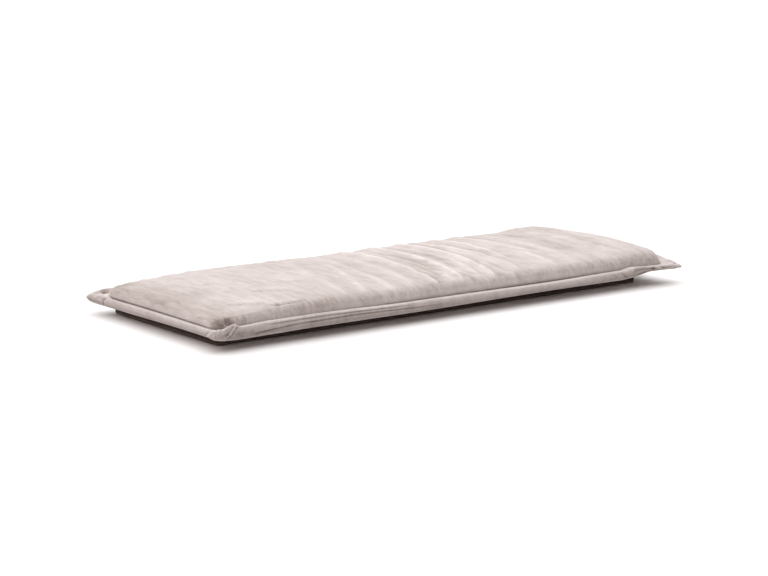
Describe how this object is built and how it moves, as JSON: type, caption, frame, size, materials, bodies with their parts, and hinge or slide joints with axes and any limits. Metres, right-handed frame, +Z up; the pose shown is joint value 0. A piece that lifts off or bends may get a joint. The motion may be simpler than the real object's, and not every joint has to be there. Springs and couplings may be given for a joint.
{
  "type": "bench cushion",
  "caption": "Long thin bench cushion: crowned, softly creased pad, folded border strip with pointed corner ears, and a dark cloth underneath.",
  "frame": {"origin": "on the surface that the cushion lies on, below the middle of its outline", "axes": "+X along the cushion, +Y across it towards the back, +Z up"},
  "size_m": [1.2, 0.49, 0.0824],
  "materials": {
    "cover_cloth": "matt, softly mottled woven cloth in a pale sand colour",
    "underside_cloth": "plain matt dark cloth"
  },
  "bodies": {
    "root": {"cushion_pad": "cover_cloth", "border_strip": "cover_cloth", "underside_cloth": "underside_cloth"}
  },
  "joints": []
}
